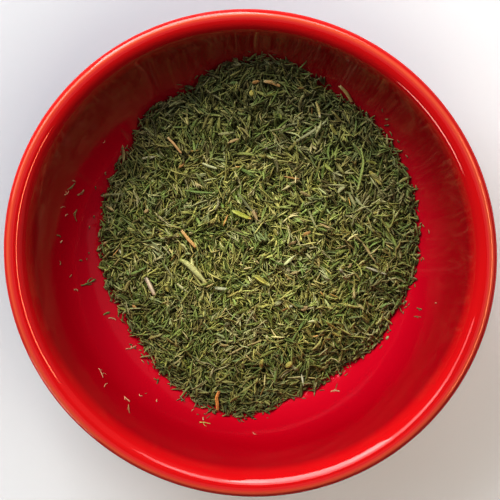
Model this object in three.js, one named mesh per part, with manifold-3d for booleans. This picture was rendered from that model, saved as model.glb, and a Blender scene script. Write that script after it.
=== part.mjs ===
// A round glazed bowl holding a heap of dried, cut dill.
// Millimetres, +Z up. The origin is the centre of the plane that the foot ring stands on.
import * as THREE from "three";
import { mergeVertices } from "three/addons/utils/BufferGeometryUtils.js";
import Module from "manifold-3d";

const wasm = await Module();
wasm.setup();

// ---- Driving dimensions -------------------------------------------------------------------

const SECTORS = 72; // facets round the bowl
const GAP = 0.3; // air between any two pieces

// The inside of the bowl: a small flat floor, then an arc that climbs to a steep wall.
const FLOOR_RADIUS = 2.7;
const FLOOR_HEIGHT = 7;
const ARC_RADIUS = 74;
const WALL_SLOPE = 62; // degrees from level, where the arc meets the lip
const INNER_STEPS = 10;

// The outside follows the inside, a little thicker towards the foot.
const WALL_AT_LIP = 5;
const WALL_AT_FOOT = 6.6;
const OUTER_STEPS = 6;

// The lip: a wide soft round inside, a tight one outside, then a short undercut into the wall.
const LIP_INNER_ROUND = 6;
const LIP_OUTER_ROUND = 1.7;
const UNDERCUT = 50; // degrees that the outer round runs on below its widest point
const NECK_HOLLOW = 0.35; // depth of the hollow between the lip and the wall

// The foot ring, and the shallow recess inside it.
const FOOT_RADIUS = 37;
const FOOT_WIDTH = 4.5;
const FOOT_FLARE = 1.4; // how much wider the ring is where it meets the wall
const FOOT_BEVEL = 0.7;
const RECESS_CENTRE = 2.4;
const RECESS_EDGE = 3.6;

// The heap: its edge lies on the wall, higher where the dill was pushed up.
const EDGE_HEIGHT = 23.5;
const CLIMBS = [
  { azimuth: 64, height: 5.3, spread: 64 },
  { azimuth: 89, height: 6.3, spread: 19 },
  { azimuth: 126, height: 2, spread: 9 },
  { azimuth: 256, height: 5.4, spread: 24 },
];
const CROWN_HEIGHT = 28.6; // the middle of the heap
const HOLLOWS = 0.45; // depth of the gentle hollows in its top
const SLAB_SECTORS = 48;
const SLAB_RINGS = [0.3, 0.6, 0.85, 1, 1.15]; // shares of the way to the heap's edge
const SLAB_FLOOR = 5; // below the bowl's floor, so that the bowl's own form cuts the heap

// The flakes that cover the heap.
const FLAKES = 570;
const FLAKE_LENGTH = [5, 8.5];
const FLAKE_RADIUS = [0.62, 0.86]; // of the blunt end
const FLAKE_SUNK = 0.55; // depth of the blunt end in the heap
const FLAKE_LIFT = [0.8, 2.1]; // height of the tip over the heap
const FLAKE_OVERHANG = 1; // how far past the heap's edge they reach, to the wall
const FLAKE_TRIES = 24;
const SEED = 20260;

// The cuttings that lie on the heap, as points of their centre lines (x, y) with the radius there.
const CUTTING_LIFT = 0.9; // height of their centre lines over the heap
const CUTTINGS = {
  forked_blade: {
    color: 0xb4b85a,
    line: [[-23.2, -4.2, 0.4], [-21, -5.2, 0.9], [-18.7, -7.2, 1], [-16.5, -9.6, 0.85], [-14, -12, 0.35]],
    fork: [[-20.2, -3.4, 0.3], [-19, -5.4, 0.5], [-17.6, -7.8, 0.5]],
  },
  pink_stick: { color: 0xb89a78, line: [[-34.4, -10.2, 0.5], [-32.8, -13.3, 0.65], [-31.3, -16.2, 0.5]] },
  orange_stick: { color: 0xb87838, line: [[-22.6, 5, 0.4], [-20.4, 2.2, 0.55], [-18, -0.2, 0.5]] },
  pale_chip: { color: 0xa8a878, line: [[-12, -12.9, 0.5], [-10.2, -13.1, 0.6], [-8.4, -13.3, 0.4]] },
  bright_leaf: { color: 0x9aa03c, line: [[-6.6, 11.8, 0.35], [-3.6, 10.7, 0.7], [-0.4, 9.4, 0.35]] },
  chaff_flake: { color: 0xb0a04c, line: [[-0.1, -8.8, 0.4], [2.6, -10.2, 0.8], [5.5, -11.8, 0.4]] },
  orange_straw: { color: 0xa86a30, line: [[-26.7, 34.5, 0.35], [-24.5, 32.2, 0.45], [-22.3, 29.5, 0.35]] },
  straw_stick: { color: 0xa88c50, line: [[26.8, 51.2, 0.4], [29, 48.8, 0.5], [30.5, 46, 0.4]] },
  short_straw: { color: 0xa88450, line: [[3.7, 52.5, 0.4], [6.2, 52.1, 0.5], [8.5, 51, 0.4]] },
  yellow_straw: { color: 0x9c8c44, line: [[19.5, 46, 0.35], [20.3, 43.6, 0.45], [20.7, 41.3, 0.35]] },
  pale_straw: { color: 0xb4b090, line: [[-15.7, 26.5, 0.35], [-13.6, 25.6, 0.45], [-11.3, 25, 0.35]] },
  green_stem: {
    color: 0x7c8a40,
    line: [[33.4, 31.7, 0.35], [34.3, 27.4, 0.42], [33.4, 22.4, 0.42], [32.5, 18.6, 0.35]],
  },
  edge_stick: { color: 0xa4642c, line: [[-11.2, -46.4, 0.4], [-11.4, -49.6, 0.5], [-11.5, -52.6, 0.4]] },
};

// The stray bits that lie on the glaze, as the two ends of each (x, y) and its radius.
const STRAY_COLOR = 0x6a5c30;
const STRAYS = [
  { from: [-57.4, 18.4], to: [-55.4, 20.2], radius: 0.4 },
  { from: [-58.3, 16.8], to: [-57.1, 18], radius: 0.4 },
  { from: [-54.9, 16.2], to: [-53.2, 17.6], radius: 0.4 },
  { from: [-55.4, 11.6], to: [-55.6, 7.8], radius: 0.35 },
  { from: [-54.5, -12.8], to: [-50.9, -11.5], radius: 0.5 },
  { from: [-48, -22.8], to: [-46.3, -22.2], radius: 0.45 },
  { from: [-46.6, -24], to: [-44.4, -24.8], radius: 0.35 },
  { from: [-40.9, -33.8], to: [-38, -33.2], radius: 0.35 },
  { from: [-48.1, -38.2], to: [-46.7, -40.8], radius: 0.35 },
  { from: [-40.1, -46.9], to: [-38.4, -48.4], radius: 0.35 },
  { from: [-38.6, -49.2], to: [-38, -51.4], radius: 0.35 },
  { from: [-16.7, -55.9], to: [-13.3, -56], radius: 0.4 },
  { from: [50.6, -21.1], to: [52.7, -20.8], radius: 0.35 },
  { from: [51.4, -18.4], to: [52.9, -18.5], radius: 0.4 },
  { from: [24.6, -46.4], to: [27.4, -46], radius: 0.4 },
];

// ---- Helpers ------------------------------------------------------------------------------

const rad = THREE.MathUtils.degToRad;
const mix = THREE.MathUtils.lerp;

// A seeded draw from 0 to 1.
function drawFrom(seed) {
  let state = seed >>> 0;
  return () => {
    state = (state + 0x6d2b79f5) >>> 0;
    let t = state;
    t = Math.imul(t ^ (t >>> 15), t | 1);
    t ^= t + Math.imul(t ^ (t >>> 7), t | 61);
    return ((t ^ (t >>> 14)) >>> 0) / 4294967296;
  };
}

function meshed(vertices, faces) {
  const geometry = new THREE.BufferGeometry();
  geometry.setAttribute("position", new THREE.Float32BufferAttribute(vertices, 3));
  geometry.setIndex(faces);
  return geometry;
}

function solidOf(geometry) {
  const bare = geometry.clone();
  bare.deleteAttribute("normal");
  bare.deleteAttribute("uv");
  const merged = mergeVertices(bare, 1e-4);
  return new wasm.Manifold(
    new wasm.Mesh({
      numProp: 3,
      vertProperties: new Float32Array(merged.attributes.position.array),
      triVerts: new Uint32Array(merged.index.array),
    }),
  );
}

function geometryOf(solid) {
  const mesh = solid.getMesh();
  return meshed(mesh.vertProperties, Array.from(mesh.triVerts));
}

// The one main body of a solid: loose scraps go, and so do the skins of sealed hollows.
function mainBody(solid) {
  const bodies = solid.decompose();
  return bodies.reduce((best, body) => (body.volume() > best.volume() ? body : best));
}

// ---- Bowl ---------------------------------------------------------------------------------

// A point of the bowl's inner arc where it slopes by this angle, moved into the bowl by inset.
function arcPoint(slope, inset = 0) {
  return new THREE.Vector2(
    FLOOR_RADIUS + (ARC_RADIUS - inset) * Math.sin(slope),
    FLOOR_HEIGHT + ARC_RADIUS - (ARC_RADIUS - inset) * Math.cos(slope),
  );
}

function innerWall(inset = 0) {
  const points = [];
  for (let i = 0; i <= INNER_STEPS; i++) {
    points.push(arcPoint((rad(WALL_SLOPE) * i) / INNER_STEPS, inset));
  }
  return points;
}

// The outer wall, from the lip down to the foot ring.
function outerWall() {
  const footTop = FOOT_RADIUS + FOOT_FLARE;
  const footSlope = Math.asin((footTop - FLOOR_RADIUS) / (ARC_RADIUS + WALL_AT_FOOT));
  const points = [];
  for (let i = 0; i <= OUTER_STEPS; i++) {
    const share = i / OUTER_STEPS;
    const slope = mix(rad(WALL_SLOPE), footSlope, share);
    points.push(arcPoint(slope, -mix(WALL_AT_LIP, WALL_AT_FOOT, share)));
  }
  return points;
}

// Points along an arc of a circle, after its first point, between two angles in degrees.
function round(centre, radius, from, to, steps) {
  const points = [];
  for (let i = 1; i <= steps; i++) {
    const angle = rad(mix(from, to, i / steps));
    points.push(
      new THREE.Vector2(centre.x + radius * Math.cos(angle), centre.y + radius * Math.sin(angle)),
    );
  }
  return points;
}

function lip() {
  const wallTop = arcPoint(rad(WALL_SLOPE));
  const inner = new THREE.Vector2(
    wallTop.x + LIP_INNER_ROUND * Math.sin(rad(WALL_SLOPE)),
    wallTop.y - LIP_INNER_ROUND * Math.cos(rad(WALL_SLOPE)),
  );
  const outer = new THREE.Vector2(inner.x, inner.y + LIP_INNER_ROUND - LIP_OUTER_ROUND);
  return [
    ...round(inner, LIP_INNER_ROUND, 90 + WALL_SLOPE, 90, 4),
    ...round(outer, LIP_OUTER_ROUND, 90, -UNDERCUT, 5),
  ];
}

// The neck: a shallow hollow from the lip's underside to the outer wall.
function neck(from, to) {
  const outward = new THREE.Vector2(to.y - from.y, from.x - to.x).normalize();
  const middle = from.clone().lerp(to, 0.5).addScaledVector(outward, NECK_HOLLOW);
  return new THREE.QuadraticBezierCurve(from, middle, to).getPoints(3).slice(1, -1);
}

function foot() {
  const inside = FOOT_RADIUS - FOOT_WIDTH;
  return [
    new THREE.Vector2(FOOT_RADIUS, FOOT_BEVEL),
    new THREE.Vector2(FOOT_RADIUS - FOOT_BEVEL, 0),
    new THREE.Vector2(inside + FOOT_BEVEL, 0),
    new THREE.Vector2(inside, FOOT_BEVEL),
    new THREE.Vector2(inside - FOOT_BEVEL, RECESS_EDGE),
    new THREE.Vector2(inside / 2, mix(RECESS_EDGE, RECESS_CENTRE, 0.75)),
    new THREE.Vector2(0, RECESS_CENTRE),
  ];
}

// A closed profile turned round +Z, from the top of the axis out and down to its foot.
function turned(profile) {
  return new THREE.LatheGeometry(profile.slice().reverse(), SECTORS).rotateX(Math.PI / 2);
}

function bowl() {
  const rim = lip();
  const outside = outerWall();
  const bridge = neck(rim[rim.length - 1], outside[0]);
  const axisTop = new THREE.Vector2(0, FLOOR_HEIGHT);
  return turned([axisTop, ...innerWall(), ...rim, ...bridge, ...outside, ...foot()]);
}

// The space inside the bowl, clear of its glaze by the gap, and open far above the lip.
function hollow() {
  const above = 70;
  return turned([
    new THREE.Vector2(0, above),
    new THREE.Vector2(above, above),
    ...innerWall(GAP).reverse(),
    new THREE.Vector2(0, FLOOR_HEIGHT + GAP),
  ]);
}

// ---- Heap ---------------------------------------------------------------------------------

// How high the edge of the heap lies on the wall, for an azimuth in degrees.
function edgeHeight(azimuth) {
  return CLIMBS.reduce((height, climb) => {
    const turn = ((azimuth - climb.azimuth + 540) % 360) - 180;
    return height + climb.height * Math.exp(-((turn / climb.spread) ** 2));
  }, EDGE_HEIGHT);
}

function wallRadius(height) {
  const cosine = 1 - (height - FLOOR_HEIGHT) / ARC_RADIUS;
  return FLOOR_RADIUS + ARC_RADIUS * Math.sqrt(1 - cosine * cosine);
}

function azimuthOf(x, y) {
  return (THREE.MathUtils.radToDeg(Math.atan2(y, x)) + 360) % 360;
}

// The top of the heap: from its crown down or up to the edge, with gentle hollows.
function heapTop(x, y) {
  const edge = edgeHeight(azimuthOf(x, y));
  const share = Math.hypot(x, y) / wallRadius(edge);
  const wave = Math.sin(x / 7.5 + 1.1) * Math.cos(y / 8.3 - 0.4) + 0.6 * Math.sin((x + y) / 5.1);
  return mix(CROWN_HEIGHT, edge, share ** 3) + HOLLOWS * wave;
}

// The bulk of the heap: its top on rings that run on past the wall, over a flat floor.
function heapSlab() {
  const sectors = SLAB_SECTORS;
  const rings = SLAB_RINGS.length;
  const vertices = [0, 0, heapTop(0, 0), 0, 0, SLAB_FLOOR];
  const rim = [];
  for (const [ring, share] of SLAB_RINGS.entries()) {
    for (let sector = 0; sector < sectors; sector++) {
      const angle = (360 * (sector + 0.5 * (ring % 2))) / sectors;
      const reach = share * wallRadius(edgeHeight(angle));
      const x = reach * Math.cos(rad(angle));
      const y = reach * Math.sin(rad(angle));
      vertices.push(x, y, heapTop(x, y));
      if (ring === rings - 1) rim.push(x, y, SLAB_FLOOR);
    }
  }
  vertices.push(...rim);

  const at = (ring, sector) => 2 + ring * sectors + (sector % sectors);
  const faces = [];
  for (let sector = 0; sector < sectors; sector++) {
    faces.push(0, at(0, sector), at(0, sector + 1));
    for (let ring = 0; ring < rings - 1; ring++) {
      const shift = ring % 2; // every other ring lies half a sector on
      faces.push(at(ring, sector), at(ring + 1, sector + shift), at(ring, sector + 1));
      faces.push(at(ring + 1, sector), at(ring + 1, sector + 1), at(ring, sector + 1 - shift));
    }
    const [top, low] = [rings - 1, rings];
    faces.push(at(top, sector), at(low, sector), at(low, sector + 1));
    faces.push(at(top, sector), at(low, sector + 1), at(top, sector + 1));
    faces.push(1, at(low, sector + 1), at(low, sector));
  }
  return meshed(vertices, faces);
}

// A three-sided sliver, from a blunt tail to a sharp tip.
function sliver({ tail, tip, radius }) {
  const along = new THREE.Vector3().subVectors(tip, tail).normalize();
  const side = new THREE.Vector3(-along.y, along.x, 0).normalize();
  const up = new THREE.Vector3().crossVectors(along, side);
  const vertices = tip.toArray();
  for (let corner = 0; corner < 3; corner++) {
    const angle = rad(90 + 120 * corner);
    const point = tail
      .clone()
      .addScaledVector(side, radius * Math.cos(angle))
      .addScaledVector(up, radius * Math.sin(angle));
    vertices.push(...point.toArray());
  }
  return meshed(vertices, [0, 1, 2, 0, 2, 3, 0, 3, 1, 1, 3, 2]);
}

// Whether two flakes cross in plan.
function cross(a, b) {
  const side = (p, q, r) => (q.x - p.x) * (r.y - p.y) - (q.y - p.y) * (r.x - p.x);
  return (
    side(a.tail, a.tip, b.tail) * side(a.tail, a.tip, b.tip) < 0 &&
    side(b.tail, b.tip, a.tail) * side(b.tail, b.tip, a.tip) < 0
  );
}

// One flake near the point, with its tail sunk in the heap and its tip free.
function layFlake(x, y, draw) {
  const heading = 2 * Math.PI * draw();
  const half = mix(...FLAKE_LENGTH, draw()) / 2;
  const tail = new THREE.Vector3(x - half * Math.cos(heading), y - half * Math.sin(heading), 0);
  const tip = new THREE.Vector3(x + half * Math.cos(heading), y + half * Math.sin(heading), 0);
  tail.z = heapTop(tail.x, tail.y) - FLAKE_SUNK;
  tip.z = heapTop(tip.x, tip.y) + mix(...FLAKE_LIFT, draw() ** 2);
  return { tail, tip, radius: mix(...FLAKE_RADIUS, draw()) };
}

// The flakes that cover the heap: spread evenly by a spiral, lying every way. Each is the one of
// a few tries that crosses the fewest others.
function flakes() {
  const draw = drawFrom(SEED);
  const laid = [];
  const golden = Math.PI * (3 - Math.sqrt(5));
  for (let i = 0; i < FLAKES; i++) {
    const around = i * golden;
    const edge = wallRadius(edgeHeight(azimuthOf(Math.cos(around), Math.sin(around))));
    const reach = (edge + FLAKE_OVERHANG) * Math.sqrt((i + 0.5) / FLAKES);
    let best = null;
    let fewest = Infinity;
    for (let attempt = 0; attempt < FLAKE_TRIES && fewest > 0; attempt++) {
      const x = reach * Math.cos(around) + draw() - 0.5;
      const y = reach * Math.sin(around) + draw() - 0.5;
      const flake = layFlake(x, y, draw);
      const crossed = laid.filter((other) => cross(flake, other)).length;
      if (crossed < fewest) {
        best = flake;
        fewest = crossed;
      }
    }
    laid.push(best);
  }
  return laid;
}

// ---- Cuttings and strays ------------------------------------------------------------------

// A five-sided tube through stations of a centre and a radius, with flat ends.
function tube(stations) {
  const sides = 5;
  const vertices = [];
  const faces = [];
  for (const [i, station] of stations.entries()) {
    const before = stations[Math.max(i - 1, 0)].centre;
    const after = stations[Math.min(i + 1, stations.length - 1)].centre;
    const along = new THREE.Vector3().subVectors(after, before).normalize();
    const side = new THREE.Vector3(-along.y, along.x, 0).normalize();
    const up = new THREE.Vector3().crossVectors(along, side);
    for (let corner = 0; corner < sides; corner++) {
      const angle = rad(90 + (360 * corner) / sides);
      const point = station.centre
        .clone()
        .addScaledVector(side, station.radius * Math.cos(angle))
        .addScaledVector(up, station.radius * Math.sin(angle));
      vertices.push(...point.toArray());
      if (i === 0) continue;
      const next = (corner + 1) % sides;
      const [low, high] = [(i - 1) * sides, i * sides];
      faces.push(low + corner, high + next, high + corner);
      faces.push(low + corner, low + next, high + next);
    }
  }
  const last = (stations.length - 1) * sides;
  for (let corner = 1; corner < sides - 1; corner++) {
    faces.push(0, corner + 1, corner);
    faces.push(last, last + corner, last + corner + 1);
  }
  return meshed(vertices, faces);
}

// The stations of a line, grown on every side and past both ends by extra.
function grown(stations, extra) {
  const first = stations[0].centre;
  const last = stations[stations.length - 1].centre;
  const ahead = new THREE.Vector3().subVectors(first, stations[1].centre).setLength(extra);
  const behind = new THREE.Vector3()
    .subVectors(last, stations[stations.length - 2].centre)
    .setLength(extra);
  return stations.map(({ centre, radius }, i) => {
    const moved = centre.clone();
    if (i === 0) moved.add(ahead);
    if (i === stations.length - 1) moved.add(behind);
    return { centre: moved, radius: radius + extra };
  });
}

// A cutting on the heap, as a solid grown by extra.
function cutting({ line, fork }, extra = 0) {
  const branches = [line, fork ?? []]
    .filter((branch) => branch.length)
    .map((branch) =>
      branch.map(([x, y, radius]) => ({
        centre: new THREE.Vector3(x, y, heapTop(x, y) + CUTTING_LIFT),
        radius,
      })),
    )
    .map((stations) => solidOf(tube(extra > 0 ? grown(stations, extra) : stations)));
  return branches.reduce((all, branch) => all.add(branch));
}

// A point over the glaze, raised square to the wall by this much.
function overGlaze([x, y], raised) {
  const distance = Math.hypot(x, y);
  const slope = Math.asin((distance - FLOOR_RADIUS) / ARC_RADIUS);
  const { x: out, y: height } = arcPoint(slope, raised);
  return new THREE.Vector3((out * x) / distance, (out * y) / distance, height);
}

// A stray bit on the glaze, thickest at its middle.
function stray({ from, to, radius }) {
  const middle = [(from[0] + to[0]) / 2, (from[1] + to[1]) / 2];
  const raised = radius + GAP;
  const thin = 0.6 * radius;
  return tube([
    { centre: overGlaze(from, raised), radius: thin },
    { centre: overGlaze(middle, raised), radius },
    { centre: overGlaze(to, raised), radius: thin },
  ]);
}

// ---- The part -----------------------------------------------------------------------------

const filledBowl = new THREE.Group();

function addPiece(name, solid, color, roughness) {
  const material = new THREE.MeshStandardMaterial({ color, roughness, metalness: 0 });
  const mesh = new THREE.Mesh(geometryOf(solid), material);
  mesh.name = name;
  filledBowl.add(mesh);
}

const inside = solidOf(hollow());
addPiece("bowl", solidOf(bowl()), 0xb40a10, 0.12);

const covered = wasm.Manifold.union([
  solidOf(heapSlab()),
  ...flakes().map((flake) => solidOf(sliver(flake))),
]);
const troughs = Object.values(CUTTINGS).map((shape) => cutting(shape, GAP));
const heap = troughs.reduce((left, trough) => left.subtract(trough), covered.intersect(inside));
addPiece("dill_heap", mainBody(heap), 0x5a5a26, 0.8);

for (const [name, shape] of Object.entries(CUTTINGS)) {
  addPiece(name, mainBody(cutting(shape).intersect(inside)), shape.color, 0.7);
}
for (const [i, bit] of STRAYS.entries()) {
  const name = `stray_${String(i + 1).padStart(2, "0")}`;
  addPiece(name, solidOf(stray(bit)), STRAY_COLOR, 0.75);
}

export default filledBowl;
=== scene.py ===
# A red glazed bowl of dried, cut dill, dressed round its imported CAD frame.
import math

import bpy
import numpy as np
from mathutils import Matrix, Vector


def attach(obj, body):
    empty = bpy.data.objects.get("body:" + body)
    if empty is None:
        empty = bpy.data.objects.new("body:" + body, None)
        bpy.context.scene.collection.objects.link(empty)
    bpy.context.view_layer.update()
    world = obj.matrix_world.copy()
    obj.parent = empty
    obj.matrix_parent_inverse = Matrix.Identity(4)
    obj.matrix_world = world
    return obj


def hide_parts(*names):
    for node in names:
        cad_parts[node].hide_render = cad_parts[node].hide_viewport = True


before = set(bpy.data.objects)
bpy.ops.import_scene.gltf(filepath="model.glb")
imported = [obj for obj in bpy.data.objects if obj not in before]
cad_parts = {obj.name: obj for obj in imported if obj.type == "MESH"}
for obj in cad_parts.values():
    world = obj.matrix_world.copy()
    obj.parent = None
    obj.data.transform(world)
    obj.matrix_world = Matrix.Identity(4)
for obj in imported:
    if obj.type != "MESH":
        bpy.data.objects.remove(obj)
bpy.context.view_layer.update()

# Lengths are in millimetres until a mesh, lamp, material or camera is made.
MM = 0.001
SEED = 4127
rng = np.random.default_rng(SEED)

# ---- Dimensions shared with the frame ----

FLOOR_RADIUS, FLOOR_HEIGHT = 2.7, 7.0
ARC_RADIUS = 74.0
WALL_SLOPE = math.radians(62)
WALL_AT_LIP, WALL_AT_FOOT = 5.0, 6.6
LIP_INNER_ROUND, LIP_OUTER_ROUND = 6.0, 1.7
CREST_INSET = 0.4  # the glaze rounds the lip over more gently than the frame's arcs do
UNDERCUT = 50.0
NECK_HOLLOW = 0.35
FOOT_RADIUS, FOOT_WIDTH, FOOT_FLARE, FOOT_BEVEL, FOOT_ROUND = 37.0, 4.5, 1.4, 0.7, 1.0
RECESS_CENTRE, RECESS_EDGE = 2.4, 3.6

EDGE_HEIGHT = 23.5
CLIMBS = ((64, 5.3, 64), (89, 6.3, 19), (126, 2.0, 9), (256, 5.4, 24))  # azimuth, height, spread
CROWN_HEIGHT = 28.6
HOLLOWS = 0.45


def toward(azimuth, elevation):
    """The way to an azimuth and an elevation in degrees, as a vector of length 1."""
    azimuth, elevation = math.radians(azimuth), math.radians(elevation)
    level = math.cos(elevation)
    return level * math.cos(azimuth), level * math.sin(azimuth), math.sin(elevation)


def at_angle(radius, angle):
    """The place in plan at a radius and an angle round the bowl's middle."""
    return radius * np.cos(angle), radius * np.sin(angle)


# ---- Camera ----

CAMERA_DISTANCE = 550.0
CAMERA_AZIMUTH, CAMERA_ELEVATION = 62.56, 78.688
CAMERA_AIM = Vector((0.711, 2.502, 47.0))
CAMERA_LENS, SENSOR = 130.69, 36.0
NEAREST_SEEN = 50.0
PICTURE = 500  # pixels across and down


def camera_axes():
    """The camera's right and up, and the way from what it looks at to the camera."""
    away = Vector(toward(CAMERA_AZIMUTH, CAMERA_ELEVATION))
    right = Vector((0, 1, 0)).cross(away).normalized()
    return right, away.cross(right), away


def add_camera():
    right, up, away = camera_axes()
    data = bpy.data.cameras.new("camera")
    data.lens, data.sensor_width = CAMERA_LENS, SENSOR
    data.clip_start = NEAREST_SEEN * MM
    camera = bpy.data.objects.new("camera", data)
    place = (CAMERA_AIM + CAMERA_DISTANCE * away) * MM
    turn = Matrix((right, up, away)).transposed().to_4x4()
    camera.matrix_world = Matrix.Translation(place) @ turn
    bpy.context.collection.objects.link(camera)
    bpy.context.scene.camera = camera


# ---- Meshes ----

def add_mesh(name, points, faces):
    """An object of points in millimetres and faces, an array with one row of corners a face."""
    mesh = bpy.data.meshes.new(name)
    points = np.asarray(points, np.float32).reshape(-1, 3) * MM
    faces = np.asarray(faces, np.int32)
    mesh.vertices.add(len(points))
    mesh.vertices.foreach_set("co", points.ravel())
    mesh.loops.add(faces.size)
    mesh.loops.foreach_set("vertex_index", faces.ravel())
    mesh.polygons.add(len(faces))
    starts = np.arange(len(faces), dtype=np.int32) * faces.shape[1]
    mesh.polygons.foreach_set("loop_start", starts)
    mesh.update(calc_edges=True)
    mesh.validate()
    mesh.polygons.foreach_set("use_smooth", np.ones(len(mesh.polygons), bool))
    thing = bpy.data.objects.new(name, mesh)
    bpy.context.collection.objects.link(thing)
    return thing


def paint(piece, tints):
    """Gives each vertex its own tint, which the herb's material reads."""
    colours = np.concatenate([tints, np.ones((len(tints), 1))], 1).astype(np.float32)
    layer = piece.data.attributes.new("tint", "FLOAT_COLOR", "POINT")
    layer.data.foreach_set("color", colours.ravel())


def round_angles(count, start=0.0):
    """Even angles all the way round, the first of them a part of one step on."""
    return (np.arange(count) + start) * 2 * math.pi / count


def sleeve(rings, sides):
    """The triangles of a closed sleeve, whose points are its rings and then its two ends, and
    how far along it and round it, from 0 to 1, each corner of each triangle is."""
    faces, places = [], []
    ends, last = rings * sides, (rings - 1) * sides
    for side in range(sides):
        after = (side + 1) % sides
        for ring in range(rings - 1):
            a, b = ring * sides + side, ring * sides + after
            near, far = ring + 1, ring + 2
            faces += [(a, b, b + sides), (a, b + sides, a + sides)]
            places += [
                ((near, side), (near, side + 1), (far, side + 1)),
                ((near, side), (far, side + 1), (far, side)),
            ]
        faces += [(ends, after, side), (ends + 1, last + side, last + after)]
        places += [
            ((0, side + 0.5), (1, side + 1), (1, side)),
            ((rings + 1, side + 0.5), (rings, side), (rings, side + 1)),
        ]
    return np.array(faces), np.array(places) / (rings + 1, sides)


# ---- Materials ----

def set_inputs(material, node, inputs):
    """Sets a node's inputs, each to a value or to what another node puts out."""
    for name, value in inputs.items():
        if isinstance(value, bpy.types.NodeSocket):
            material.node_tree.links.new(value, node.inputs[name])
        else:
            node.inputs[name].default_value = value


def add_node(material, kind, inputs, **settings):
    """A shader node of a kind, with its settings and its inputs."""
    node = material.node_tree.nodes.new("ShaderNode" + kind)
    for name, value in settings.items():
        setattr(node, name, value)
    set_inputs(material, node, inputs)
    return node


def new_material(name):
    material = bpy.data.materials.new(name)
    material.use_nodes = True
    material.node_tree.nodes.clear()
    shader = add_node(material, "BsdfPrincipled", {})
    add_node(material, "OutputMaterial", {"Surface": shader.outputs[0]})
    return material, shader


def noise(material, scale, detail):
    """A noise texture on the piece's own coordinates, its scale per metre."""
    place = add_node(material, "TexCoord", {}).outputs["Object"]
    texture = add_node(material, "TexNoise", {"Vector": place, "Scale": scale, "Detail": detail})
    return texture.outputs["Fac"]


def mapped(material, value, start, end, low=0.0, high=1.0):
    """What runs from low to high while a value runs from start to end."""
    ends = {"From Min": start, "From Max": end, "To Min": low, "To Max": high}
    return add_node(material, "MapRange", {"Value": value, **ends}).outputs["Result"]


def ramp(material, value, stops):
    """Colours for a 0 to 1 value: stops are (position, (red, green, blue))."""
    node = add_node(material, "ValToRGB", {"Fac": value})
    elements = node.color_ramp.elements
    while len(elements) < len(stops):
        elements.new(0.5)
    for element, (position, colour) in zip(elements, stops):
        element.position = position
        element.color = (*colour, 1)
    return node.outputs["Color"]


def ramp_by_length(material, length, marks):
    """Colours for a length in metres: marks are (millimetres, (red, green, blue))."""
    low, high = marks[0][0], marks[-1][0]
    stops = [((mark - low) / (high - low), colour) for mark, colour in marks]
    return ramp(material, mapped(material, length, low * MM, high * MM), stops)


def blended(material, share, first, second, way="MIX"):
    """A share of the second colour over the first."""
    inputs = {"Factor": share, "A": first, "B": second}
    return add_node(material, "Mix", inputs, data_type="RGBA", blend_type=way).outputs["Result"]


def bumps(material, height, strength, depth):
    """Normals of a surface with bumps, their depth in millimetres."""
    inputs = {"Strength": strength, "Distance": depth * MM, "Height": height}
    return add_node(material, "Bump", inputs).outputs["Normal"]


# The glaze's colour by height: bright low down, deeper up the wall, and bright again on the lip.
GLAZE_TINTS = (
    (26.0, (0.52, 0.002, 0.020)),
    (36.5, (0.355, 0.0, 0.008)),
    (43.5, (0.360, 0.0, 0.008)),
    (45.6, (0.550, 0.004, 0.010)),
    (48.6, (0.640, 0.010, 0.012)),
)
# How far the orange of the crest covers the red, by radius: partly the thin glaze's own orange, and
# partly a painted highlight along the crest.
CREST_ORANGE_AND_HIGHLIGHT = (0.76, 0.140, 0.066, 1)
CREST_ORANGE_AND_HIGHLIGHT_COVER = ((72.4, 0.0), (73.0, 0.5), (73.4, 0.9), (73.8, 0.65), (74.3, 0.05))
GLOSS_TINT = (1.0, 0.84, 0.80, 1)
POLISH_FROM, POLISH_TO = 40, 46  # heights between which the glaze turns smoother
WALL_ROUGHNESS, LIP_ROUGHNESS = 0.075, 0.055


def glaze_material():
    """An opaque red glaze, glossy and slightly uneven."""
    material, shader = new_material("glaze")
    place = add_node(material, "TexCoord", {}).outputs["Object"]
    height = add_node(material, "SeparateXYZ", {0: place}).outputs["Z"]
    flat = add_node(material, "VectorMath", {0: place, 1: (1, 1, 0)}, operation="MULTIPLY")
    reach = add_node(material, "VectorMath", {0: flat.outputs[0]}, operation="LENGTH")
    body = ramp_by_length(material, height, GLAZE_TINTS)
    # The crest's orange, part thin glaze and part painted highlight.
    crest = [(radius, (cover,) * 3) for radius, cover in CREST_ORANGE_AND_HIGHLIGHT_COVER]
    cover = ramp_by_length(material, reach.outputs["Value"], crest)
    red = blended(material, cover, body, CREST_ORANGE_AND_HIGHLIGHT)
    cloud = ramp(material, noise(material, 38, 2), ((0.3, (0.94, 0.94, 0.94)), (0.7, (1, 1, 1))))
    set_inputs(material, shader, {
        "Base Color": blended(material, 1, red, cloud, "MULTIPLY"),
        "Roughness": mapped(
            material, height, POLISH_FROM * MM, POLISH_TO * MM, WALL_ROUGHNESS, LIP_ROUGHNESS
        ),
        "IOR": 1.5,
        "Specular Tint": GLOSS_TINT,
        "Normal": bumps(material, noise(material, 70, 2), 0.16, 0.6),
    })
    return material


def clay_material():
    """The bare clay of the foot, where the glaze was wiped off."""
    material, shader = new_material("clay")
    grain = noise(material, 900, 5)
    set_inputs(material, shader, {
        "Base Color": ramp(material, grain, ((0.3, (0.52, 0.40, 0.29)), (0.7, (0.66, 0.55, 0.43)))),
        "Roughness": 0.85,
        "Normal": bumps(material, grain, 0.5, 0.2),
    })
    return material


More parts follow.
